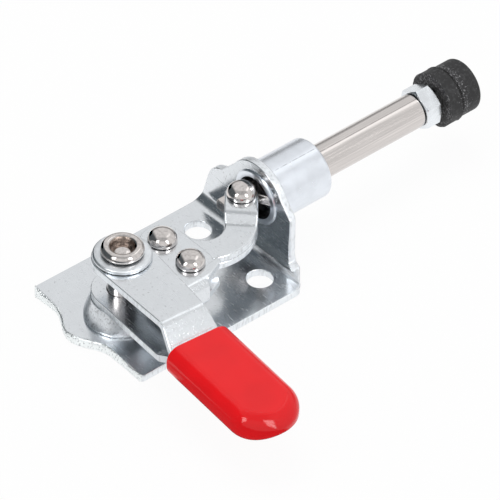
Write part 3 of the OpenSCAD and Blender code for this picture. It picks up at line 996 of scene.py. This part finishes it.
class CLAMP_OT_plunger(bpy.types.Operator):
    """Plunger bar, tip screw with its thread, and locknut"""

    bl_idname = "clamp.plunger"
    bl_label = "Plunger, screw and nut"
    bl_options = {"REGISTER", "UNDO"}

    def execute(self, context):
        sizes = context.scene.clamp_sizes
        bm = from_cad("plunger_rod")
        soften(bm, sizes.turned_edge)
        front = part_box("plunger_rod")[1].x - mm(0.16)

        # The bore finish paints shade on the end face and its chamfer, by the nut.
        def end_face(normal, centre):
            return centre.x > front

        show(bm, "Plunger", "plunger", "bar", "plunger_rod", (("bore", end_face),))
        bm = from_cad("locknut")
        soften(bm, mm(0.12), angle=20, clamp=True)
        show(bm, "Locknut", "nut", "turning", "locknut")
        self.make_screw(sizes.thread_pitch)
        return {"FINISHED"}

    def make_screw(self, pitch):
        """The screw, whose thread is wound round its core, and whose head is in the rubber."""
        core, head, head_depth = 1.7, 3.2, 1.3
        low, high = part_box("tip_screw")
        start, end = low.x, high.x - mm(head_depth)
        bm = self.wind_thread(start, pitch, int((end - start) / pitch) - 1)
        rear, neck, front = start * 1000, end * 1000, high.x * 1000
        profile = [(0, rear), (core, rear), (core, neck), (head, neck), (head, front), (0, front)]
        join(bm, turned(profile))
        bmesh.ops.recalc_face_normals(bm, faces=bm.faces)
        nut_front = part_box("locknut")[1].x - mm(0.2)

        # The bore finish paints shade on the thread between the nut and the rubber.
        def by_rubber(normal, centre):
            return centre.x > nut_front

        others = (("bore", by_rubber),)
        show(lengthwise(bm), "Tip_Screw", "tip", "screw", "tip_screw", others)

    def wind_thread(self, start, pitch, turns):
        """One ridge of the thread, wound upwards from start."""
        root, crest, steps = mm(1.66), mm(2.0), 24
        ridge = ((root, 0), (crest, 0.44), (crest, 0.56), (root, 1))
        bm = bmesh.new()
        points = [bm.verts.new((radius, 0, start + share * pitch)) for radius, share in ridge]
        edges = [bm.edges.new(pair) for pair in zip(points, points[1:])]
        bmesh.ops.spin(
            bm,
            geom=points + edges,
            cent=(0, 0, 0),
            axis=(0, 0, 1),
            dvec=(0, 0, pitch / steps),
            angle=math.tau * turns,
            steps=steps * turns,
            use_merge=False,
            use_duplicate=False,
        )
        bmesh.ops.remove_doubles(bm, verts=bm.verts, dist=mm(0.002))
        return bm


class CLAMP_OT_rubber(bpy.types.Operator):
    """Moulded rubber tip with its parting line and ragged flash"""

    bl_idname = "clamp.rubber"
    bl_label = "Rubber tip"
    bl_options = {"REGISTER", "UNDO"}

    def execute(self, context):
        start, end = ends("tip_rubber")
        rear, front, rounding, part = 5.2, 4.9, 0.7, start + PARTING
        profile = [(2.05, start + 0.5), (2.6, start + 0.15), (rear - 0.5, start + 0.12)]
        profile += [(rear - 0.16, start), (rear - 0.03, start + 0.1), (rear - 0.08, start + 0.4)]
        profile += [(rear - 0.1, start + 1.2), (rear - 0.1, part - 0.5), (rear, part - 0.25)]
        profile += [(rear - 0.05, part - 0.08), (front - 0.35, part), (front - 0.3, part + 0.12)]
        profile += [(front - 0.02, part + 0.25), (front, part + 1.6), (front, end - rounding)]
        profile += arc(front - rounding, end - rounding, rounding, 15, 90, 6)
        profile += [(1.2, end - 0.02), (0, end - 0.02)]
        bm = turned(profile, steps=140)
        seed = random.Random(5).uniform(0, 50)
        for vert in bm.verts:
            radius, height = vert.co.xy.length * 1000, vert.co.z * 1000
            angle = math.atan2(vert.co.y, vert.co.x)
            ring = Vector((math.cos(angle) * 6, math.sin(angle) * 6, seed))
            worn = 0.0
            if radius > rear - 0.6 and height < start + 0.2:
                worn = 0.22 * max(0.0, noise.noise(ring) + 0.1)
            elif radius > rear - 0.2 and abs(height - part) < 0.4:
                worn = 0.12 * max(0.0, noise.noise(ring * 1.7) + 0.2)
            if worn > 0:
                vert.co.xy *= 1 - worn / radius
        show(lengthwise(bm), "Tip_Rubber", "tip", "rubber", "tip_rubber", angle=60)
        return {"FINISHED"}


class CLAMP_OT_stage(bpy.types.Operator):
    """Floor, soft studio light, and the camera at the photograph's angle"""

    bl_idname = "clamp.stage"
    bl_label = "Stage"
    bl_options = {"REGISTER", "UNDO"}

    def execute(self, context):
        scene = context.scene
        scene.view_settings.view_transform = "Standard"
        azimuth, elevation = math.radians(-41.387), math.radians(41.46)
        level = math.cos(elevation)
        back = Vector((math.sin(azimuth) * level, -math.cos(azimuth) * level, math.sin(elevation)))
        right = Vector((math.cos(azimuth), math.sin(azimuth), 0))
        far = Vector((-back.x, -back.y, 0)).normalized()
        aim = Vector((mm(9.25), 0, mm(6.5)))
        self.set_camera(scene, aim, back, right)
        self.light_world(scene, right, far)
        self.hang_lamps(scene, aim, right, far)
        self.lay_floor(scene, right)
        return {"FINISHED"}

    def set_camera(self, scene, aim, back, right):
        """A long lens, rolled and off-centre as the photograph is."""
        roll, distance, field = math.radians(1.319), 1.46, mm(85.9)
        shift_right, shift_down = mm(2.793), mm(3.469)
        up = back.cross(right)
        turned_right = right * math.cos(roll) + up * math.sin(roll)
        turned_up = up * math.cos(roll) - right * math.sin(roll)
        centre = aim + turned_right * shift_right - turned_up * shift_down
        lens = bpy.data.cameras.new("Photograph")
        camera = bpy.data.objects.new("Photograph", lens)
        lens.lens = lens.sensor_width * distance / field
        lens.clip_start, lens.clip_end = 0.05, 20
        rotation = Matrix((turned_right, turned_up, back)).transposed()
        camera.matrix_world = Matrix.Translation(centre + back * distance) @ rotation.to_4x4()
        scene.collection.objects.link(camera)
        scene.camera = camera

    def light_world(self, scene, right, far):
        """White behind the object, and a studio of light and dark cards that metal reflects."""
        world = bpy.data.worlds.new("Studio")
        world.use_nodes = True
        scene.world = world
        graph = Graph(world.node_tree)
        direction = graph.node("ShaderNodeTexCoord", output="Generated")
        by_camera = graph.node("ShaderNodeLightPath", output="Is Camera Ray")
        glossy = by_camera.other("Is Glossy Ray")
        seen = by_camera + by_camera.other("Is Transmission Ray")
        side, ahead = graph.along(direction, right), graph.along(direction, far)
        height = graph.along(direction, (0, 0, 1))
        out, top = abs(side), height.ramp(0.1, 0.35)
        # A dark card at the left
        left = side.ramp(-0.62, -0.35, 1.0, 0.0) * ahead.ramp(-0.75, -0.6)
        # A dimmer gap overhead
        gap = out.ramp(0.3, 0.48, 1.0, 0.0) * (ahead.ramp(-0.55, -0.4) - ahead.ramp(0.1, 0.35))
        # Two bright boxes, high at the left and right on the camera's side
        slant, depth = out + (ahead + 0.5) * 0.5, ahead.ramp(-0.68, -0.62) - ahead.ramp(-0.36, -0.3)
        box = (slant.ramp(0.38, 0.42) - slant.ramp(0.62, 0.68)) * depth
        # A dark band at the far horizon
        horizon = (height.ramp(-0.05, 0.03) - height.ramp(0.2, 0.4)) * ahead.ramp(0.5, 0.75)
        # A brighter slot at the far right
        depth = ahead.ramp(0.1, 0.3) - ahead.ramp(0.6, 0.7)
        slot = (side.ramp(0.25, 0.28) - side.ramp(0.42, 0.47)) * depth
        panels = 0.86 - left * 0.76 - gap * top * 0.3 - horizon * 0.55 + slot * top * 0.6
        panels = panels + box * top * 7
        diffuse_level = 0.55
        level = seen + (1 - seen) * (glossy * panels + (1 - glossy) * diffuse_level)
        dark = glossy * (left + gap * 0.4)
        sockets = {0: level, 1: level + dark * 0.015, 2: level + dark * 0.025}
        cool = graph.node("ShaderNodeCombineColor", None, sockets)
        graph.plug(world.node_tree.nodes["Background"].inputs["Color"], cool)

    def hang_lamps(self, scene, aim, right, far):
        """One broad lamp overhead and two in front. Metal reflects the world's cards instead."""
        for name, place, size, power in (
            ("Overhead", (-0.1, 0.25, 0.8), (0.5, 0.5), 2.6),
            ("Left front", (-0.5, -0.3, 0.5), (0.25, 0.4), 0.5),
            ("Right front", (0.5, -0.3, 0.5), (0.25, 0.4), 0.5),
        ):
            data = bpy.data.lights.new(name, "AREA")
            data.shape, data.size, data.size_y, data.energy = "RECTANGLE", *size, power
            lamp = bpy.data.objects.new(name, data)
            spot = aim + right * place[0] + far * place[1] + Vector((0, 0, place[2]))
            rotation = (spot - aim).to_track_quat("Z", "Y").to_matrix()
            lamp.matrix_world = Matrix.Translation(spot) @ rotation.to_4x4()
            lamp.visible_glossy = False
            scene.collection.objects.link(lamp)

    def lay_floor(self, scene, right):
        """White floor that keeps a soft shadow, with dark cards that only reflections show."""
        size, drop = 4, mm(0.05)
        bm = bmesh.new()
        bmesh.ops.create_grid(bm, x_segments=1, y_segments=1, size=size)
        bmesh.ops.translate(bm, verts=bm.verts, vec=(0, 0, -drop))
        mesh = bpy.data.meshes.new("Floor")
        bm.to_mesh(mesh)
        bm.free()
        floor = bpy.data.objects.new("Floor", mesh)
        scene.collection.objects.link(floor)
        mesh.materials.append(self.floor_material(right))

    def floor_material(self, right):
        """White, with a dark card at the far left, and dark cards of painted shade under the grip
        and beside it.
        """
        material = bpy.data.materials.new("White floor")
        material.use_nodes = True
        graph = Graph(material.node_tree)
        nodes = material.node_tree.nodes
        nodes.remove(nodes["Principled BSDF"])
        by_camera = graph.node("ShaderNodeLightPath", output="Is Camera Ray")
        glossy = by_camera.other("Is Glossy Ray")
        place = graph.node("ShaderNodeTexCoord", output="Object")
        far_left = graph.along(place, right).ramp(mm(-55), mm(-34), 0.9, 0.0)
        x = graph.node("ShaderNodeSeparateXYZ", None, {"Vector": place})
        y = x.other("Y")
        # Under and beside the grip, the cards are painted shade that only reflections see, where
        # the grip's shadow would fall.
        under_grip = x.ramp(mm(-14), mm(-10), 1.0, 0.0) * y.ramp(mm(-19), mm(-16.5), 1.0, 0.0)
        beside_grip = x.ramp(mm(-34), mm(-23), 1.0, 0.0) * y.ramp(mm(-14), mm(-4), 1.0, 0.0)
        card = glossy * (far_left + under_grip + beside_grip).ramp(0.0, 1.0, 0.0, 0.9)
        shown = by_camera + glossy + by_camera.other("Is Transmission Ray")
        paint = graph.node("ShaderNodeBsdfDiffuse", None, {"Color": (0.9, 0.9, 0.9, 1)})
        white = graph.node("ShaderNodeEmission", None, {"Color": (1, 1, 1, 1), "Strength": 1.0})
        black = graph.node("ShaderNodeBsdfDiffuse", None, {"Color": (0.02, 0.035, 0.045, 1)})
        white_share = shown * 0.95
        lit = graph.node("ShaderNodeMixShader", None, {0: white_share, 1: paint, 2: white})
        both = graph.node("ShaderNodeMixShader", None, {0: card, 1: lit, 2: black})
        graph.plug(nodes["Material Output"].inputs["Surface"], both)
        return material


OPERATORS = (
    CLAMP_OT_base,
    CLAMP_OT_main_rivet,
    CLAMP_OT_small_rivets,
    CLAMP_OT_handle,
    CLAMP_OT_link,
    CLAMP_OT_grip,
    CLAMP_OT_plunger,
    CLAMP_OT_rubber,
    CLAMP_OT_stage,
)


class CLAMP_PT_panel(bpy.types.Panel):
    """Lists the clamp's pieces, sizes and colours"""

    bl_idname = "CLAMP_PT_panel"
    bl_label = "Toggle clamp"
    bl_space_type = "VIEW_3D"
    bl_region_type = "UI"
    bl_category = "Clamp"

    def draw(self, context):
        for operator in OPERATORS:
            self.layout.operator(operator.bl_idname)
        for group in (context.scene.clamp_sizes, context.scene.clamp_colors):
            box = self.layout.box()
            for name in group.__annotations__:
                box.prop(group, name)


CLASSES = (ClampColors, ClampSizes, *OPERATORS, CLAMP_PT_panel)


def register():
    for cls in CLASSES:
        bpy.utils.register_class(cls)
    bpy.types.Scene.clamp_colors = bpy.props.PointerProperty(type=ClampColors)
    bpy.types.Scene.clamp_sizes = bpy.props.PointerProperty(type=ClampSizes)


def unregister():
    del bpy.types.Scene.clamp_sizes
    del bpy.types.Scene.clamp_colors
    for cls in reversed(CLASSES):
        bpy.utils.unregister_class(cls)


def main():
    register()
    for operator in OPERATORS:
        group, name = operator.bl_idname.split(".")
        getattr(getattr(bpy.ops, group), name)()


if __name__ == "__main__":
    main()
